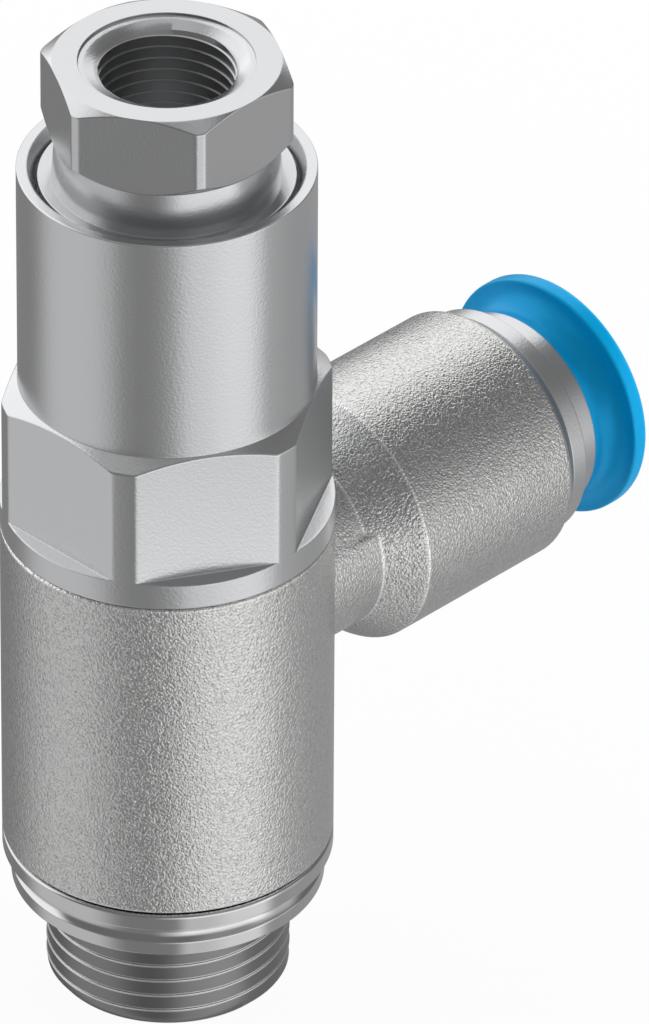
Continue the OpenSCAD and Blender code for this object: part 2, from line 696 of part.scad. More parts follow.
// Pilot connector: hexagon with the pilot thread, neck, flange and tail
module pilot_connector() {
    corner_r = pilot_corner_d / 2;
    recess_r = connector_r - passage_rim;
    groove_h = retainer_wire_d + 4 * run;
    color(metal) difference() {
        union() {
            intersection() {
                turned([[0, pilot_hex_z], [pilot_af / 2, pilot_hex_z],
                        [corner_r, pilot_hex_z + pilot_foot_chamfer],
                        [corner_r, connector_top - pilot_top_chamfer],
                        [pilot_af / 2, connector_top], [0, connector_top]]);
                translate([0, 0, pilot_hex_z])
                    cylinder(d = pilot_af / cos(30), h = pilot_hex_h, $fn = 6);
            }
            turned([[0, connector_z], [connector_r - lead, connector_z],
                    [connector_r, connector_z + lead], [connector_r, flange_step_z],
                    [pilot_flange_d / 2, flange_step_z + fine_edge],
                    [pilot_flange_d / 2, flange_edge_z], [pilot_af / 2, pilot_neck_z],
                    [pilot_af / 2, pilot_hex_z + edge], [0, pilot_hex_z + edge]]);
        }
        turned([[0, connector_top + past], [countersink_d / 2, connector_top + past],
                [countersink_d / 2, connector_top],
                [pilot_thread_d / 2, connector_top - countersink_h],
                [pilot_thread_d / 2, pilot_bore_z], [pilot_passage_d / 2, pilot_bore_z - bore_tip],
                [pilot_passage_d / 2, connector_z + passage_recess_h + past],
                [recess_r, connector_z + passage_recess_h], [recess_r, connector_z - past],
                [0, connector_z - past]]);
        oring_cut(connector_r, connector_oring_d, connector_oring_z);
        translate([0, 0, retainer_z - groove_h / 2]) difference() {
            cylinder(r = connector_r + past, h = groove_h);
            translate([0, 0, -past])
                cylinder(r = (cylinder_d - retainer_wire_d) / 2 - 2 * run, h = groove_h + 2 * past);
        }
    }
}

module connector_oring() {
    color(rubber) oring(connector_r, connector_oring_d, connector_oring_z);
}

// Sprung wire ring, half in the sleeve's groove and half in the connector's
module connector_retaining_ring() {
    color(steel) translate([0, 0, retainer_z]) rotate(retainer_gap / 2)
        rotate_extrude(angle = 360 - retainer_gap) translate([cylinder_d / 2, 0])
            circle(d = retainer_wire_d - 2 * fit, $fn = 32);
}

// Lip seal round the tube
module tube_seal() {
    x = seal_pocket_x + 2 * run;
    end = spigot_x - 2 * run;
    outer_r = tube_seal_d / 2 - fit;
    lip = 2 * lead;
    color(rubber) turned_x([[guide_r + lead, x], [outer_r - edge, x], [outer_r, x + edge],
            [outer_r, end], [outer_r - lead, end], [outer_r - lip, end - lip],
            [guide_r + lead, end - lead], [guide_r, end - lip], [guide_r, x + lead]]);
}

// Ring that backs the seal, pressed into the cartridge's bore
module seal_backing_ring() {
    outer_r = cartridge_bore_d / 2 - fit;
    end = spigot_x + backing_t;
    color(white_plastic) turned_x([[guide_r, spigot_x + fit], [outer_r, spigot_x + fit],
            [outer_r, end], [guide_r + edge, end], [guide_r, end - edge]]);
}

// Sprung steel ring whose slanting teeth grip the tube
module gripping_ring() {
    rim_r = cartridge_bore_d / 2 - fit;
    inner_r = nose_r + edge;
    color(steel) difference() {
        turned_x([[guide_r, grip_x + fit], [guide_r + grip_sheet, grip_x + fit],
                  [inner_r + grip_sheet, grip_rim_x], [rim_r, grip_rim_x], [rim_r, grip_end],
                  [inner_r, grip_end], [guide_r, grip_x + lead]]);
        for (i = [0:grip_teeth - 1])
            translate([grip_x - past, 0, outlet_z]) rotate([i * 360 / grip_teeth, 0, 0])
                translate([0, 0, -grip_slot / 2])
                    cube([grip_cone_w + past + fine_edge, cartridge_bore_d, grip_slot]);
    }
}

// Brass insert pressed into the barrel: its flange is the first bright ring
module socket_cartridge() {
    flange_x = barrel_end + fit;
    nose_bore_r = nose_r + 3 * run;
    color(metal) difference() {
        turned_x([[0, spigot_x + fit], [cartridge_spigot_d / 2, spigot_x + fit],
                  [cartridge_spigot_d / 2, flange_x], [cartridge_d / 2 - fine_edge, flange_x],
                  [cartridge_d / 2, flange_x + fine_edge], [cartridge_d / 2, cap_x - fine_edge],
                  [cartridge_d / 2 - fine_edge, cap_x], [0, cap_x]]);
        turned_x([[0, spigot_x - past], [cartridge_bore_d / 2, spigot_x - past],
                  [cartridge_bore_d / 2, grip_end + fit], [nose_bore_r, grip_end + fit],
                  [nose_bore_r, lip_stop_x], [lip_r + run, lip_stop_x],
                  [lip_r + run, cap_x + past], [0, cap_x + past]]);
    }
}

// Tapered cap ring that keeps the release ring in: the second bright ring
module cartridge_cap() {
    inner_r = release_neck_d / 2 + run;
    color(metal) turned_x([[inner_r, cap_x + fit], [cap_d / 2, cap_x + fit],
            [cap_d / 2, cap_x + cap_land], [cap_nose_d / 2, cap_end],
            [inner_r + cap_lead_h, cap_end], [inner_r, cap_end - cap_lead_w]]);
}

// Blue release ring: nose, retaining lip, neck, hollow fillet and disc
module release_ring() {
    r = release_neck_d / 2;
    f = release_fillet;
    disc_r = release_disc_d / 2;
    color(blue) turned_x([[guide_r, nose_x], [nose_r, nose_x], [nose_r, lip_x], [lip_r, lip_x],
            [lip_r, lip_x + lip_w], [r, lip_x + lip_w], [r, disc_x - f],
            for (a = [15:15:75]) [r + f * (1 - cos(a)), disc_x - f * (1 - sin(a))],
            [r + f, disc_x], [disc_r - edge, disc_x], [disc_r, disc_x + edge],
            [disc_r, release_end - disc_round], [disc_r - disc_round, release_end],
            [guide_r + mouth_round, release_end], [guide_r, release_end - mouth_round]]);
}

thread_nipple();
port_seal_ring();
valve_housing();
swivel_body();
lower_swivel_oring();
upper_swivel_oring();
check_poppet();
poppet_seal_disc();
poppet_clamp_screw();
poppet_spring();
poppet_guide_star();
rod_guide_bush();
push_rod();
pilot_piston();
piston_oring();
piston_guide_band();
piston_return_spring();
pilot_connector();
connector_oring();
connector_retaining_ring();
tube_seal();
seal_backing_ring();
gripping_ring();
socket_cartridge();
cartridge_cap();
release_ring();
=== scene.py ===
import math

import bmesh
import bpy
import numpy as np
from mathutils import Matrix, Vector


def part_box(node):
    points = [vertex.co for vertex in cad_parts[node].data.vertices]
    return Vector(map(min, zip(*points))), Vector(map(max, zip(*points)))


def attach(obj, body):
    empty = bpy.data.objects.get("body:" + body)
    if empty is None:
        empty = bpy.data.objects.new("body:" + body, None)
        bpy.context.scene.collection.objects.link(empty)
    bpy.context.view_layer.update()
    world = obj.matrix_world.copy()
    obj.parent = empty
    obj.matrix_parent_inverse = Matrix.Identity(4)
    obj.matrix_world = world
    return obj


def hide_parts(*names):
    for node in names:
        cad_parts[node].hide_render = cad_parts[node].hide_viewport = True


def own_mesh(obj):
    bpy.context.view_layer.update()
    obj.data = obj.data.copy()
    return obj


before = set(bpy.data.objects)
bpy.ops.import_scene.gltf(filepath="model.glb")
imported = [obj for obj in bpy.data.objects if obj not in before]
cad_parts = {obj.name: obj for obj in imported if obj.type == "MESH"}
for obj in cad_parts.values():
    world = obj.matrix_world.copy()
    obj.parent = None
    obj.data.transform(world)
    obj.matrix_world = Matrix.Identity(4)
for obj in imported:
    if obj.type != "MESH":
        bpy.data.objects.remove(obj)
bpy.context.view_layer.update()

# Camera. A long lens from the front left, 34 degrees above the horizon, so that the sleeve's
# sides stay all but parallel. Its two points are millimetres to the right of and above the zero
# point in the picture's plane: the one that it stands over, and the one that it is aimed at.
MM = 0.001
azimuth = math.radians(-45)
elevation = math.radians(33.83)
camera_distance = 1300
lens = 532.2
stand_point = (2.743, 30.351)
aim_point = (13.448, 30.326)
nearest_seen = 0.05
farthest_seen = 60

right = Vector((math.cos(azimuth), math.sin(azimuth), 0))
back = Vector((math.sin(azimuth) * math.cos(elevation),
               -math.cos(azimuth) * math.cos(elevation),
               math.sin(elevation)))
up = back.cross(right)
station = right * stand_point[0] + up * stand_point[1] + back * camera_distance
aim = right * aim_point[0] + up * aim_point[1]
camera_z = (station - aim).normalized()
camera_x = up.cross(camera_z).normalized()
camera_y = camera_z.cross(camera_x)
camera = bpy.data.objects.new("camera", bpy.data.cameras.new("camera"))
camera.data.lens = lens
camera.data.clip_start = nearest_seen
camera.data.clip_end = farthest_seen
camera.matrix_world = (Matrix.Translation(station * MM)
                       @ Matrix((camera_x, camera_y, camera_z)).transposed().to_4x4())
bpy.context.scene.collection.objects.link(camera)
bpy.context.scene.camera = camera
bpy.context.scene.view_settings.view_transform = "Standard"


# Studio. A white sweep under and behind the valve, large soft cards round it that the metal
# mirrors, and one soft lamp. The cards are bands of the sky, each with a bearing and a height.
class Value:
    """A shader socket. Arithmetic on it adds Math nodes to the shader that it belongs to."""

    def __init__(self, shader, socket):
        self.shader = shader
        self.socket = socket

    def math(self, operation, first, second):
        return self.shader.node("Math", {"operation": operation}, {0: first, 1: second})

    def __add__(self, other):
        return self.math("ADD", self, other)

    def __sub__(self, other):
        return self.math("SUBTRACT", self, other)

    def __rsub__(self, other):
        return self.math("SUBTRACT", other, self)

    def __mul__(self, other):
        return self.math("MULTIPLY", self, other)

    __radd__ = __add__
    __rmul__ = __mul__


class Shader:
    """The emptied node tree of a material or of the world, with one method that adds nodes."""

    def __init__(self, owner):
        owner.use_nodes = True
        self.tree = owner.node_tree
        self.tree.nodes.clear()

    def node(self, kind, settings, inputs, output=0):
        """Adds a node: settings first, then a number or a Value for each named input."""
        made = self.tree.nodes.new("ShaderNode" + kind)
        for name, setting in settings.items():
            setattr(made, name, setting)
        for name, value in inputs.items():
            if isinstance(value, Value):
                self.tree.links.new(value.socket, made.inputs[name])
            else:
                made.inputs[name].default_value = value
        return Value(self, made.outputs[output]) if made.outputs else None

    def step(self, value, low, high):
        """Rises smoothly from 0 at low to 1 at high."""
        return self.node("MapRange", {"interpolation_type": "SMOOTHSTEP"},
                         {"Value": value, "From Min": low, "From Max": high})

    def mix(self, share, first, second):
        """Colour that goes from first to second as share goes from 0 to 1."""
        return self.node("Mix", {"data_type": "RGBA"}, {0: share, 6: first, 7: second}, 2)

    def from_axis(self, place):
        """How far a place is from the main axis: the length of its x and y."""
        across = self.node("VectorMath", {"operation": "MULTIPLY"}, {0: place, 1: (1, 1, 0)})
        return self.node("VectorMath", {"operation": "LENGTH"}, {0: across}, 1)


def bearing(from_camera):
    """World bearing in radians of a direction given in degrees to the right of the camera."""
    return math.radians(from_camera) + azimuth - math.pi / 2


studio = Shader(bpy.data.worlds.new("studio"))
bpy.context.scene.world = bpy.data.worlds["studio"]
dim_level = 0.19
floor_glow = 0.06
glow_fades = (-15, 5)
straight_down = -90
straight_up = 90
cards = [
    # bearing, half width and softness of its sides, lowest and highest elevation and softness
    # of its ends, all in degrees, and level
    (42.5, 32.5, 6, straight_down, -6, 16, 0.42),
    (60, 22, 14, straight_down, -28, 6, 0.22),
    (36, 36, 12, -28, 6, 8, 0.60),
    (80, 18, 8, -26, 20, 16, 0.36),
    (-76, 34, 14, straight_down, -8, 10, 0.40),
    (-115, 36, 7, -4, 60, 8, 1.05),
    (50, 26, 10, 6, 54, 8, 0.15),
    (180, 31, 3, 5, 64, 6, 1.00),
    (135, 45, 10, straight_down, -10, 12, 0.14),
    (0, 75, 15, 56, straight_up, 5, 0.12),
    (180, 105, 15, 68, straight_up, 4, 0.42),
]
direction = studio.node("TexCoord", {}, {}, 0)
height = studio.node("SeparateXYZ", {}, {"Vector": direction}, 2)
flat = studio.node("VectorMath", {"operation": "MULTIPLY"}, {0: direction, 1: (1, 1, 0)})
heading = studio.node("VectorMath", {"operation": "NORMALIZE"}, {0: flat})
climb = studio.node("Math", {"operation": "ARCSINE"}, {0: height}) * math.degrees(1)
level = dim_level + floor_glow * (1 - studio.step(climb, *glow_fades))
for card_bearing, half_width, side_blur, low, high, end_blur, glow in cards:
    centre = (math.cos(bearing(card_bearing)), math.sin(bearing(card_bearing)), 0)
    facing = studio.node("VectorMath", {"operation": "DOT_PRODUCT"}, {0: heading, 1: centre}, 1)
    away = studio.node("Math", {"operation": "ARCCOSINE"}, {0: facing}) * math.degrees(1)
    card = 1 - studio.step(away, half_width - side_blur, half_width + side_blur)
    if low > straight_down:
        card = card * studio.step(climb, low - end_blur, low + end_blur)
    if high < straight_up:
        card = card * (1 - studio.step(climb, high - end_blur, high + end_blur))
    level = level + glow * card
seen = studio.node("LightPath", {}, {}, 0)
studio.node("OutputWorld", {}, {0: studio.node("Background", {}, {
    "Color": (1, 1, 1, 1), "Strength": level + seen * (1 - level)})})

floor_size = 20
floor_shade = 0.9
shadow_share = 0.05
shadow_reach = 0.25
floor_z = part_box("thread_nipple")[0].z
floor_mesh = bpy.data.meshes.new("floor")
floor_mesh.from_pydata([(x * floor_size, y * floor_size, floor_z)
                        for x, y in ((-1, -1), (1, -1), (1, 1), (-1, 1))], [], [(0, 1, 2, 3)])
floor = bpy.data.objects.new("floor", floor_mesh)
floor.visible_glossy = False
bpy.context.scene.collection.objects.link(floor)
floor_material = bpy.data.materials.new("white_sweep")
floor_mesh.materials.append(floor_material)
sweep = Shader(floor_material)
spot = sweep.node("TexCoord", {}, {}, 3)
from_middle = sweep.node("VectorMath", {"operation": "LENGTH"}, {0: spot}, 1)
shadow = shadow_share * (1 - sweep.step(from_middle, 0, shadow_reach))
lit = sweep.node("BsdfDiffuse", {}, {"Color": (floor_shade, floor_shade, floor_shade, 1)})
glowing = sweep.node("Emission", {}, {"Color": (1, 1, 1, 1)})
seen = sweep.node("LightPath", {}, {}, 0)
through = sweep.node("LightPath", {}, {}, 6)
white = sweep.node("Math", {"operation": "MAXIMUM"}, {0: seen, 1: through})
surface = sweep.node("MixShader", {}, {0: white * (1 - shadow), 1: lit, 2: glowing})
underside = sweep.node("NewGeometry", {}, {}, 6)
sweep.node("OutputMaterial", {}, {0: sweep.node("MixShader", {}, {
    0: underside, 1: surface, 2: sweep.node("BsdfTransparent", {}, {})})})

lamp_side = 0.5
lamp_distance = 0.7
lamp_power = 5
lamp_bearing = 105
lamp_height = 12
lamp = bpy.data.objects.new("lamp", bpy.data.lights.new("lamp", "AREA"))
lamp.data.size = lamp_side
lamp.data.energy = lamp_power
lamp.visible_glossy = False
rise = math.radians(lamp_height)
toward = Vector((math.cos(bearing(lamp_bearing)) * math.cos(rise),
                 math.sin(bearing(lamp_bearing)) * math.cos(rise), math.sin(rise)))
lamp.location = toward * lamp_distance
lamp.rotation_mode = "QUATERNION"
lamp.rotation_quaternion = (-toward).to_track_quat("-Z", "Y")
bpy.context.scene.collection.objects.link(lamp)


# Housing. One turned and milled piece of light metal: the stem that the swivel turns on, a round
# flange, a hexagon whose flats end in a ledge, a short cone and the fine-turned sleeve. Its
# edges are broken, so that they catch the light as thin lines.
# Near-white that edges and thread crests are painted with: a painted highlight.
painted_highlight_white = (0.98, 0.98, 0.97, 1)
cloud_scale = 90
cloud_tone = 0.08
edge_seen = (0.9985, 0.98)


def metal(name, colour, roughness, grain, depth, spread=0.0, twist=0.4, pits=0.0, edge=0.0,
          edge_highlight=0.0, zone=None, zone_skin=1.0, zone_painted_shade=1.0, zone_roughness=0.0, crest_highlight=None):
    """Bare or plated metal. grain is the size of its skin's bumps and depth their height, both
    in millimetres. spread is how far the roughness wanders over the surface, twist how much the
    bumps turn into worms, and pits how much darker the low spots are. edge is the radius in
    millimetres to which its edges look rounded, and edge_highlight how far they are painted
    white: a painted highlight. A zone is an axis, or the radius about the main one, and two
    places on it in millimetres: past the second the skin's height and the colour are multiplied
    by the zone's, which darkens it as painted shade, and its roughness is added. A
    crest_highlight is two distances from the main axis between which the zone's metal is
    painted white: a painted highlight on the thread's crests."""
    material = bpy.data.materials.new(name)
    shader = Shader(material)
    place = shader.node("TexCoord", {}, {}, 3)
    skin = shader.node("TexNoise", {}, {"Vector": place, "Scale": 1 / (grain * MM), "Detail": 0.6,
                                        "Roughness": 0.5, "Distortion": twist})
    cloud = shader.node("TexNoise", {}, {"Vector": place, "Scale": cloud_scale, "Detail": 2})
    height = skin * depth
    tone = 1 + cloud_tone * (cloud - 0.5) + 2 * pits * (skin - 0.5)
    polish = roughness + spread * (cloud - 0.5)
    if zone:
        axis, start, end = zone
        if axis == "radius":
            along = shader.from_axis(place)
        else:
            along = shader.node("SeparateXYZ", {}, {"Vector": place}, "XYZ".index(axis))
        inside = shader.step(along, start * MM, end * MM)
        height = height * (1 + (zone_skin - 1) * inside)
        # Past the zone's second place the colour is darkened by the zone's factor: painted shade.
        tone = tone * (1 + (zone_painted_shade - 1) * inside)
        polish = polish + zone_roughness * inside
    surface = shader.mix(tone, (0, 0, 0, 1), list(colour) + [1])
    # Between the two radii given, inside the zone, the colour is painted white: a painted
    # highlight on the thread's crests.
    if crest_highlight:
        crest = shader.step(shader.from_axis(place), crest_highlight[0] * MM, crest_highlight[1] * MM)
        surface = shader.mix(inside * crest, surface, painted_highlight_white)
    rounding = {}
    if edge:
        soft = shader.node("Bevel", {"samples": 6}, {"Radius": edge * MM})
        plain = shader.node("NewGeometry", {}, {}, 1)
        facing = shader.node("VectorMath", {"operation": "DOT_PRODUCT"}, {0: plain, 1: soft}, 1)
        # Where the rounded normal turns away from the plain one, the colour is painted white: a
        # painted highlight on the edges.
        surface = shader.mix(edge_highlight * shader.step(facing, *edge_seen), surface, painted_highlight_white)
        rounding = {"Normal": soft}
    bump = shader.node("Bump", {}, {"Strength": 1, "Distance": MM, "Height": height, **rounding})
    shader.node("OutputMaterial", {}, {0: shader.node("BsdfPrincipled", {}, {
        "Base Color": surface, "Metallic": 1, "Roughness": polish, "Normal": bump})})
    return material


def rounded(path, sizes, steps=4):
    """Breaks the corners of a path of (radius, height) points. A corner gives way to a parabola
    that leaves and meets its sides at the size given, or at 0.45 of a shorter side, with one
    more point past either end, so that the long faces stay flat. Size 0 keeps the corner. The
    path is corners by 2, or corners by columns by 2 where a corner moves from column to column."""
    path = np.asarray(path, float)
    path = path[:, None] if path.ndim == 2 else path
    most_of_side = 0.45
    past_end = 1.1
    rows = []
    share = np.linspace(0, 1, steps + 1)[:, None, None]
    for corner, size in enumerate(sizes):
        here = path[corner]
        if size == 0:
            rows.append(here[None])
            continue
        arms = []
        for side in (path[corner - 1] - here, path[(corner + 1) % len(path)] - here):
            length = np.linalg.norm(side, axis=-1, keepdims=True)
            arms.append(side / np.maximum(length, 1e-9) * np.minimum(size, most_of_side * length))
        rows.append((here + past_end * arms[0])[None])
        rows.append(here + (1 - share) ** 2 * arms[0] + share ** 2 * arms[1])
        rows.append((here + past_end * arms[1])[None])
    return np.concatenate(rows)


def turned(rows, angles):
    """Carries (radius, height) rows round the main axis: x = r cos a, y = r sin a, z = height."""
    radius, height = rows[..., 0], rows[..., 1]
    return np.stack(np.broadcast_arrays(radius * np.cos(angles), radius * np.sin(angles),
                                        height + 0 * angles), -1)


merge_distance = 5e-7
sharp_angle = math.radians(38)


def shell(name, grids, node, body, material):
    """One closed mesh from grids of points, rows by columns by 3, in millimetres. Neighbours in
    a grid make quads, points that meet are merged, and the mesh stands for a CAD node."""
    points = []
    faces = []
    count = 0
    for grid in grids:
        index = count + np.arange(grid.shape[0] * grid.shape[1]).reshape(grid.shape[:2])
        quads = np.stack([index[:-1, :-1], index[:-1, 1:], index[1:, 1:], index[1:, :-1]], -1)
        points.append(grid.reshape(-1, 3) * MM)
        faces.append(quads.reshape(-1, 4))
        count += index.size
    mesh = bpy.data.meshes.new(name)
    mesh.from_pydata(np.concatenate(points).tolist(), [], np.concatenate(faces).tolist())
    skin = bmesh.new()
    skin.from_mesh(mesh)
    bmesh.ops.remove_doubles(skin, verts=skin.verts, dist=merge_distance)
    bmesh.ops.recalc_face_normals(skin, faces=skin.faces)
    skin.to_mesh(mesh)
    skin.free()
    mesh.shade_smooth()
    mesh.set_sharp_from_angle(angle=sharp_angle)
    mesh.materials.append(material)
    piece = bpy.data.objects.new(name, mesh)
    bpy.context.scene.collection.objects.link(piece)
    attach(piece, body)
    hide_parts(node)
    return piece


def soft_min(first, second, blend):
    """The lower of two values, with the corner between them rounded over the blend's width."""
    share = np.clip(0.5 + 0.5 * (second - first) / blend, 0, 1)
    return second + (first - second) * share - blend * share * (1 - share)


def spanner_angles(flat_radius, corner_radius, first_normal):
    """Bearings round a hexagon, close together at the edges of its flats, and each bearing's
    distance in radians from the middle of its flat. A flat meets the round corner at the angle
    whose cosine is flat_radius / corner_radius, and half a flat and its corner take 30 degrees."""
    half_sector = 30
    corner_edge = math.degrees(math.acos(flat_radius / corner_radius))
    near_edge = corner_edge + np.array([-1.5, -0.9, -0.5, -0.2, 0, 0.2, 0.5, 0.9, 1.5])
    over_flat = np.linspace(0, corner_edge - 2, 11)
    half = np.concatenate([over_flat, near_edge, [(corner_edge + half_sector) / 2, half_sector]])
    half = np.unique(np.clip(half, 0, half_sector))
    sector = np.concatenate([-half[:0:-1], half])
    normals = 2 * half_sector * np.arange(6)[:, None]
    round_it = np.append((sector[:-1] + normals).ravel(), 11 * half_sector)
    off_middle = np.append(np.tile(sector[:-1], 6), -half_sector)
    return np.radians(round_it + first_normal), np.radians(off_middle)


def all_round(bearings, *corners):
    """Corners that are the same at every bearing, repeated to go with a hexagon's."""
    return np.broadcast_to(np.array(corners)[:, None], (len(corners), len(bearings), 2))


body_radius = 14.2
flange_foot = 36.15
flange_top = 38.45
hex_top = 49.4
sleeve_foot = 50.35
sleeve_radius = 12.6
sleeve_rim = 71.3
mouth_radius = 11.68
mouth_depth = 1.15
flat_radius = 12.8
ledge_slope = math.radians(85)
ledge_reach = 1.03 * (body_radius - flat_radius)
ledge_fillet = 0.02
edge_break = 0.12
fine_break = 0.05
edge_blend = 0.12

bearings, off_middle = spanner_angles(flat_radius, body_radius, 0)

# The ledge at a flat's foot: a fillet out of the flat, then a straight run past the flange.
turn = np.linspace(ledge_slope, 0, 8)
fillet_reach = ledge_fillet * (1 - np.cos(turn))
fillet_drop = ledge_fillet * np.sin(turn)
run = np.linspace(1, 0, 8)[:-1] * (ledge_reach - fillet_reach[0])
reach = np.concatenate([fillet_reach[0] + run, fillet_reach])[:, None]
drop = np.concatenate([fillet_drop[0] + run / math.tan(ledge_slope), fillet_drop])[:, None]
ledge_radius = soft_min((flat_radius + reach) / np.cos(off_middle), body_radius, edge_blend)
ledge = np.stack(np.broadcast_arrays(ledge_radius, flange_top + drop[0] - drop), -1)
flange_edge = all_round(bearings, (body_radius, flange_top))
wall_radius = soft_min(flat_radius / np.cos(off_middle), body_radius, edge_blend)
cone_slope = (sleeve_foot - hex_top) / (body_radius - sleeve_radius)
wall_top = np.stack([wall_radius, hex_top + (body_radius - wall_radius) * cone_slope], -1)[None]

# The stem, from its foot up to the flange: waist at the gallery, and groove of the upper ring.
spigot_bore = 8.02
stem_foot = 11.02
stem_radius = 9.4
waist_radius = 8.5
groove_radius = 7.98
stem = [(spigot_bore, stem_foot), (stem_radius, stem_foot), (stem_radius, 22.8),
        (waist_radius, 23.7), (waist_radius, 29.9), (stem_radius, 30.8), (stem_radius, 33.475),
        (groove_radius, 33.475), (groove_radius, 35.475), (stem_radius, 35.475),
        (stem_radius, flange_foot)]

# The inside, from the mouth down: groove of the sprung ring, cylinder, the bush's bore, gallery,
# seat with its lip, and the chamber's roof.
cylinder_radius = 11.1
ring_groove_radius = 11.65
cylinder_floor = 41
bush_bore = 4.52
gallery_radius = 5.6
seat_bore = 4.6
chamber_radius = 7
inside = [(cylinder_radius, 67.6), (ring_groove_radius, 67.6), (ring_groove_radius, 66.4),
          (cylinder_radius, 66.4), (cylinder_radius, cylinder_floor), (bush_bore, cylinder_floor),
          (bush_bore, 31.8), (gallery_radius, 31.5), (gallery_radius, 21.62), (seat_bore, 21.02),
          (seat_bore, 17.82), (5, 17.82), (5.8, 18.22), (chamber_radius, 18.22),
          (chamber_radius, 17.02), (spigot_bore, 17.02)]
profile = np.concatenate([
    all_round(bearings, *stem, (body_radius, flange_foot)), flange_edge, ledge, wall_top,
    all_round(bearings, (sleeve_radius, sleeve_foot), (sleeve_radius, sleeve_rim),
              (mouth_radius, sleeve_rim), (cylinder_radius, sleeve_rim - mouth_depth), *inside)])
breaks = ([0] * len(stem) + [edge_break, edge_break] + [0] * len(ledge)
          + [edge_break, fine_break, edge_break, edge_break, fine_break] + [0] * len(inside))
rows = rounded(profile, breaks)
# satin_metal paints its rounded edges a little whiter: a faint painted highlight.
satin_metal = metal("satin_metal", (0.69, 0.695, 0.705), 0.28, 0.24, 0.012, spread=0.06,
                    edge=0.12, edge_highlight=0.15)
shell("housing", [turned(np.concatenate([rows, rows[:1]]), bearings)],
      "valve_housing", "valve", satin_metal)


# Screw-in end. Nickel-plated brass, turned bright: male pipe thread with a run-out groove, skirt,
# a hollow with a fillet, the polished collar under the swivel, and the journal and spigot that
# go up into the stem. The thread and the end below the skirt are painted darker, as painted
# shade, and the thread's crests are painted white, as a painted highlight.
def threaded(radius_at, pitch, marks, low, high, angles):
    """A thread between two heights: each row follows the right-hand helix z = mark + pitch a/2pi
    and is held between the ends, and radius_at gives the radius at a height and a phase. The
    marks are where the rows stand within one pitch, from 0 to 1."""
    turns = np.arange(math.floor(low / pitch) - 2, math.ceil(high / pitch) + 1)
    phase = (turns[:, None] + marks).reshape(-1, 1)
    height = np.clip(pitch * (phase + angles / (2 * math.pi)), low, high)
    radius = radius_at(height, (height / pitch - angles / (2 * math.pi)) % 1)
    return turned(np.stack([radius, height], -1), angles)


def tooth(phase, crest, root):
    """Depth of a thread, from 0 on the crest to 1 in the root, as the phase goes from 0 to 1:
    flat over the crest, straight down the flanks and flat over the root."""
    distance = np.abs((phase + 0.5) % 1 - 0.5)
    return np.clip((distance - crest / 2) / (0.5 - crest / 2 - root / 2), 0, 1)


def thread_marks(crest, root, first_crest):
    """Where the rows of a thread stand within a pitch, with a crest at the mark given: at the
    ends and middles of crest, flanks and root."""
    flank = 0.5 - root / 2
    side = np.array([crest / 2, (crest / 2 + flank) / 2, flank])
    return np.sort((np.concatenate([[0], side, [0.5], 1 - side[::-1]]) + first_crest) % 1)


def crest_at(height, pitch):
    """Mark of the thread whose crest passes the front of the valve at a height."""
    front = math.radians(-135)
    return (height / pitch - front / (2 * math.pi)) % 1


thread_pitch = 1.54
crest_radius = 10.4775
root_radius = 10.385
crest_share = 0.04
root_share = 0.82
relief_top = -0.15
relief_foot = -0.6
relief_slope = 1.7
thread_end = -9.6
end_chamfer = 0.65
crest_mark = crest_at(-3.26, thread_pitch)


def male_radius(height, phase):
    """Thread radius, held under the end's chamfer and the run-out groove by the lowest value."""
    depth = tooth(phase - crest_mark, crest_share, root_share)
    cut = crest_radius - (crest_radius - root_radius) * depth
    end = crest_radius - end_chamfer + (height - thread_end)
    relief = root_radius + (relief_foot - height) * relief_slope
    return np.minimum(np.minimum(cut, end), np.clip(relief, root_radius, crest_radius))


ring_angles = np.linspace(0, 2 * math.pi, 241)
male_thread = threaded(male_radius, thread_pitch,
                       thread_marks(crest_share, root_share, crest_mark),
                       thread_end, relief_top, ring_angles)
skirt_radius = 13.45
skirt_foot = 0.1
skirt_top = 1.35
collar_foot = 3.15
collar_top = 4.65
hollow_fillet = 1.34
hollow_start = math.radians(45)
turn = np.linspace(hollow_start, 0, 13)[1:]
hollow = np.stack([skirt_radius + hollow_fillet * (math.cos(hollow_start) - np.cos(turn)),
                   skirt_top + hollow_fillet * (math.sin(hollow_start) - np.sin(turn))], -1)

# Under the skirt: the land of the sealing ring, and the ring's seat.
land_radius = 10.2275
seal_seat_radius = 12.1475
seal_seat = 1.3
skirt = [(root_radius, relief_top), (land_radius, 0), (land_radius, seal_seat),
         (seal_seat_radius, seal_seat), (seal_seat_radius, skirt_foot),
         (skirt_radius, skirt_foot), (skirt_radius, skirt_top)]
collar = [(hollow[-1, 0], collar_foot), (body_radius, collar_foot), (body_radius, collar_top)]

# Above the collar: journal with the groove of the lower ring, and spigot. Then the bore, down to
# its mouth at the thread's end.
spigot_radius = 8
inlet_radius = 6.2
inlet_mouth = 7
journal = [(stem_radius, collar_top), (stem_radius, 7.125), (groove_radius, 7.125),
           (groove_radius, 9.125), (stem_radius, 9.125), (stem_radius, 11), (spigot_radius, 11),
           (spigot_radius, 16.6), (7.6, 17), (chamber_radius, 17), (chamber_radius, 0.7),
           (inlet_radius, 0.7), (inlet_radius, -8.8), (inlet_mouth, thread_end)]
collar_rows = rounded(np.concatenate([skirt, hollow, collar, journal]),
                      [0, 0, 0, 0, 0.05, 0.1, 0.12] + [0] * len(hollow) + [0, 0.08, 0.3]
                      + [0] * len(journal))
end_height = np.full_like(ring_angles, thread_end)
end_phase = (thread_end / thread_pitch - ring_angles / (2 * math.pi)) % 1
end_radius = np.stack([np.full_like(ring_angles, inlet_mouth), male_radius(end_height, end_phase)])
end_face = np.stack(np.broadcast_arrays(end_radius, end_height), -1)
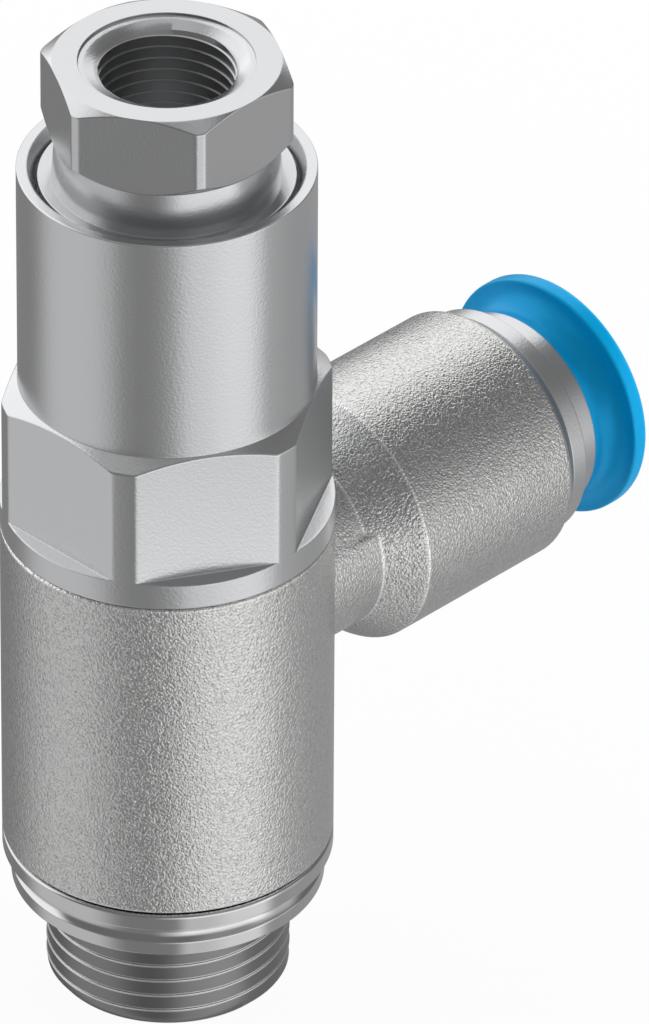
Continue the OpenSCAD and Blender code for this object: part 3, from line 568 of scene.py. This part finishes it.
# bright_plating paints the thread darker as painted shade, and its crests and all edges white as
# painted highlights.
bright_plating = metal("bright_plating", (0.65, 0.655, 0.65), 0.13, 0.5, 0.0008, spread=0.04,
                       edge=0.12, edge_highlight=1.0, zone=("Z", -0.05, -0.25), zone_painted_shade=0.4,
                       zone_roughness=0.2, crest_highlight=(10.44, 10.47))
shell("screw_in_end",
      [male_thread, turned(collar_rows, ring_angles), turned(end_face, ring_angles)],
      "thread_nipple", "valve", bright_plating)


# Swivel body. Die-cast and plated, with the coarse orange-peel skin of its mould, and free to
# turn on the stem. Its edges are painted white, as a painted highlight. The bevel at the
# barrel's mouth is turned, duller and smoother, and painted darker, as painted shade.
def dress(node, material):
    """Gives a CAD node its finish."""
    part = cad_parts[node]
    part.data.materials.clear()
    part.data.materials.append(material)


cast_skin = metal("cast_skin", (0.70, 0.705, 0.695), 0.14, 0.21, 0.09, spread=0.04, twist=0.7,
                  pits=0.25, edge=0.35, edge_highlight=1.0, zone=("X", 37.35, 37.5), zone_skin=0.02,
                  zone_painted_shade=0.7, zone_roughness=0.3)
dress("swivel_body", cast_skin)

# Pilot connector. Turned and milled from plated brass, free to turn in the sleeve's mouth: a
# hexagon with a countersunk pipe thread, neck, flange, and a tail with its grooves in the sleeve.
pilot_flat = 9.55
pilot_corner = 10.82
pilot_blend = 0.1
pilot_foot = 74.3
pilot_foot_top = 75.5
pilot_shoulder = 80.85
pilot_top = 81.6
neck_foot = (9.67, 70.25)
neck_top = (9.38, pilot_foot)
flange_rim = (10.83, 70.5)

pilot_bearings, pilot_off = spanner_angles(pilot_flat, pilot_corner, 30)
wall_radius = soft_min(pilot_flat / np.cos(pilot_off), pilot_corner, pilot_blend)
foot_slope = (pilot_foot_top - pilot_foot) / (pilot_corner - pilot_flat)
top_slope = (pilot_top - pilot_shoulder) / (pilot_corner - pilot_flat)
wall = np.stack([
    np.stack([wall_radius, pilot_foot + (wall_radius - pilot_flat) * foot_slope], -1),
    np.stack([wall_radius, pilot_shoulder + (pilot_corner - wall_radius) * top_slope], -1)])

# The tail, from its foot up: groove of the sprung ring, groove of the O-ring, and the flange.
tail_foot = 60.6
tail_radius = 11.05
tail = [(7.05, tail_foot), (10.65, tail_foot), (tail_radius, 61), (tail_radius, 62.15),
        (9.53, 62.15), (9.53, 64.25), (tail_radius, 64.25), (tail_radius, 66.35), (10.45, 66.35),
        (10.45, 67.65), (tail_radius, 67.65), (tail_radius, 69.45), (10.83, 69.6)]

# The mouth: a lip, the countersink, and the thread that it opens into.
pilot_pitch = 1.1
pilot_crest = 5.7225
pilot_root = 5.87
pilot_crest_share = 0.06
pilot_root_share = 0.82
thread_floor = 70.1
thread_top = 80.78
lip_radius = 7.42
lip_foot = 81.32
countersink_radius = 7.0
countersink_foot = 81.2
countersink_end = 80.7
countersink_slope = (countersink_radius - pilot_root) / (countersink_foot - countersink_end)
thread_mouth = pilot_root + (thread_top - countersink_end) * countersink_slope
pilot_profile = np.concatenate([
    all_round(pilot_bearings, *tail, flange_rim, neck_foot, neck_top), wall,
    all_round(pilot_bearings, (pilot_flat, pilot_top), (lip_radius, pilot_top),
              (lip_radius, lip_foot), (countersink_radius, countersink_foot),
              (thread_mouth, thread_top))])
pilot_breaks = [0] * len(tail) + [0.12, 0.05, 0.05, 0.08, 0.1, 0.1, 0.08, 0.08, 0.1, 0]
pilot_rows = rounded(pilot_profile, pilot_breaks)
pilot_mark = crest_at(79.8, pilot_pitch)


def pilot_radius(height, phase):
    """Thread radius between crest and root, widened by the countersink above and faded out to
    the crest's radius at the thread's floor."""
    depth = tooth(phase - pilot_mark, pilot_crest_share, pilot_root_share)
    fade = np.clip((height - thread_floor) / pilot_pitch, 0, 1)
    cut = pilot_crest + (pilot_root - pilot_crest) * depth * fade
    return np.maximum(cut, pilot_root + (height - countersink_end) * countersink_slope)


pilot_thread = threaded(pilot_radius, pilot_pitch,
                        thread_marks(pilot_crest_share, pilot_root_share, pilot_mark),
                        thread_floor, thread_top, pilot_bearings)
passage_radius = 2
passage = np.array([(pilot_crest, thread_floor), (pilot_crest, 69.05), (passage_radius, 67.05),
                    (passage_radius, 61.4), (7.05, 61.4), (7.05, tail_foot)])[:, None]
# The bore inside the thread's root is painted a little darker: painted shade.
connector_metal = metal("connector_metal", (0.64, 0.645, 0.655), 0.24, 0.24, 0.008, spread=0.06,
                        zone=("radius", 6.15, 5.95), zone_painted_shade=0.88, zone_roughness=0.1)
shell("pilot_connector_body", [turned(pilot_rows, pilot_bearings), pilot_thread,
                               turned(passage, pilot_bearings)],
      "pilot_connector", "pilot_port", connector_metal)


# Bright rings at the socket's mouth. Turned brass, plated: the cartridge, whose flange closes the
# barrel, and the narrower cap that is pressed on it and holds the release ring in.
outlet_height = 26.8


def turned_outlet(rows, angles):
    """Carries (radius, distance) rows round the outlet's axis: x = distance, y = r sin a and
    z = r cos a above the outlet's height."""
    radius, distance = rows[..., 0], rows[..., 1]
    return np.stack(np.broadcast_arrays(distance + 0 * angles, radius * np.sin(angles),
                                        outlet_height + radius * np.cos(angles)), -1)


def outlet_ring(name, path, sizes, node, body, material, steps=4):
    """A ring turned about the outlet's axis, from a closed path of radius and distance."""
    rows = rounded(path, sizes, steps)
    return shell(name, [turned_outlet(np.concatenate([rows, rows[:1]]), ring_angles)],
                 node, body, material)


cartridge_back = 33.02
cartridge_path = [(9.9, cartridge_back), (9.9, 38.82), (10.55, 38.82), (10.55, 40.42),
                  (9.25, 40.42), (9.25, 37.97), (7.5, 37.97), (7.5, 35.79), (8.6, 35.79),
                  (8.6, cartridge_back)]
outlet_ring("cartridge", cartridge_path, [0, 0, 0.06, 0.08, 0, 0, 0, 0, 0, 0],
            "socket_cartridge", "swivel", satin_metal)
cap_back = 40.44
cap_front = 43.04
cap_path = [(8.65, cap_back), (9.15, cap_back), (9.15, cap_front), (8.9, cap_front), (8.65, 42.54)]
outlet_ring("cap", cap_path, [0, 0, 0.08, 0.06, 0],
            "cartridge_cap", "swivel", satin_metal)


# Release ring. Moulded in blue plastic, semi-gloss: a flared disc to press on, and a neck that
# slides in the cartridge and opens the gripping ring's teeth.
def plastic(name, colour, roughness, lustre=0.0):
    """Moulded plastic or rubber with a faint skin. lustre is how much it mirrors in its colour."""
    skin_scale = 2500
    skin_depth = 0.002
    material = bpy.data.materials.new(name)
    shader = Shader(material)
    place = shader.node("TexCoord", {}, {}, 3)
    skin = shader.node("TexNoise", {}, {"Vector": place, "Scale": skin_scale, "Detail": 2})
    bump = shader.node("Bump", {}, {"Strength": 1, "Distance": skin_depth * MM, "Height": skin})
    dark = [0.96 * part for part in colour] + [1]
    pale = [min(1, 1.04 * part) for part in colour] + [1]
    shader.node("OutputMaterial", {}, {0: shader.node("BsdfPrincipled", {}, {
        "Base Color": shader.mix(skin, dark, pale), "Metallic": lustre, "Roughness": roughness,
        "Specular IOR Level": 0.2, "Normal": bump})})
    return material


disc_back = 45.99
disc_front = 47.64
disc_radius = 10.96
release_bore = 6.15
release_tip = 37.42
tip_radius = 7.35
catch_radius = 9.2
catch_back = 39.62
catch_front = 40.37
neck_radius = 8.6
back_fillet = 1.9
turn = np.radians(np.linspace(0, 90, 19))
flare = np.stack([neck_radius + back_fillet * (1 - np.cos(turn)),
                  disc_back - back_fillet * (1 - np.sin(turn))], -1)
release_path = np.concatenate([
    [(release_bore, release_tip), (tip_radius, release_tip), (tip_radius, catch_back),
     (catch_radius, catch_back), (catch_radius, catch_front), (neck_radius, catch_front)],
    flare, [(disc_radius, disc_back), (disc_radius, disc_front), (release_bore, disc_front)]])
release_blue = plastic("release_blue", (0.0, 0.45, 0.90), 0.34, lustre=0.2)
outlet_ring("release", release_path,
            [0.3, 0.2, 0, 0.1, 0, 0] + [0] * len(flare) + [0.35, 0.6, 1.0],
            "release_ring", "release", release_blue, 6)

# Seals. Black rubber: the O-rings of the swivel, the piston and the connector, the port's ring,
# the poppet's disc and the lip seal round the tube.
black_rubber = plastic("black_rubber", (0.03, 0.03, 0.035), 0.6)
for node in ("port_seal_ring", "lower_swivel_oring", "upper_swivel_oring", "poppet_seal_disc",
             "piston_oring", "connector_oring", "tube_seal"):
    dress(node, black_rubber)

# Backing ring and guide band. White plastic: the ring holds the lip seal's back, and the band
# keeps the piston off the cylinder's wall.
white_plastic = plastic("white_plastic", (0.8, 0.8, 0.76), 0.45)
dress("seal_backing_ring", white_plastic)
dress("piston_guide_band", white_plastic)

# Piston. Turned from light metal like the housing, with grooves for its band and its O-ring and
# a pocket for its spring.
dress("pilot_piston", satin_metal)

# Screw, rod and sprung rings. Steel: the screw clamps the poppet's disc, the rod is ground, and
# the two rings are sprung, one in the sleeve's groove and one, with teeth, round the tube.
drawn_steel = metal("drawn_steel", (0.55, 0.56, 0.58), 0.28, 0.2, 0.001)
for node in ("poppet_clamp_screw", "push_rod", "connector_retaining_ring", "gripping_ring"):
    dress(node, drawn_steel)


def spring(name, node, coil_diameter, wire, coils):
    """A compression spring of round wire on the main axis, as tall as its CAD node. Its middle
    line is at r = coil_diameter/2 and bearing 2pi t, and climbs by 1.02 wires over the first
    and the last turn and evenly between them."""
    low, high = (corner.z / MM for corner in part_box(node))
    closed = 1.02 * wire
    free = high - low - wire
    turn = np.linspace(0, coils, coils * 32 + 1)[1:-1, None]
    climb = np.interp(turn, [0, 1, coils - 1, coils], [0, closed, free - closed, free])
    section = np.linspace(0, 2 * math.pi, 15)
    radius = (coil_diameter + wire * np.cos(section)) / 2
    height = low + wire / 2 + climb + wire / 2 * np.sin(section)
    tube = np.stack([radius * np.cos(2 * math.pi * turn), radius * np.sin(2 * math.pi * turn),
                     height], -1)
    ends = [np.broadcast_to(tube[row, :-1].mean(0), tube[:1].shape) for row in (0, -1)]
    tube = np.concatenate([ends[0], tube, ends[1]])
    piece = shell(name, [tube], node, "valve", drawn_steel)
    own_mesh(piece)


spring("piston_spring", "piston_return_spring", 16.8, 1.4, 6)
spring("closing_spring", "poppet_spring", 8.4, 0.9, 5)

# Poppet, star and bush. Turned from brass: the star is pressed into the screw-in end and guides
# the poppet, and the bush is pressed into the floor and guides the rod.
turned_brass = metal("turned_brass", (0.72, 0.58, 0.3), 0.25, 0.3, 0.001)
for node in ("check_poppet", "poppet_guide_star", "rod_guide_bush"):
    dress(node, turned_brass)
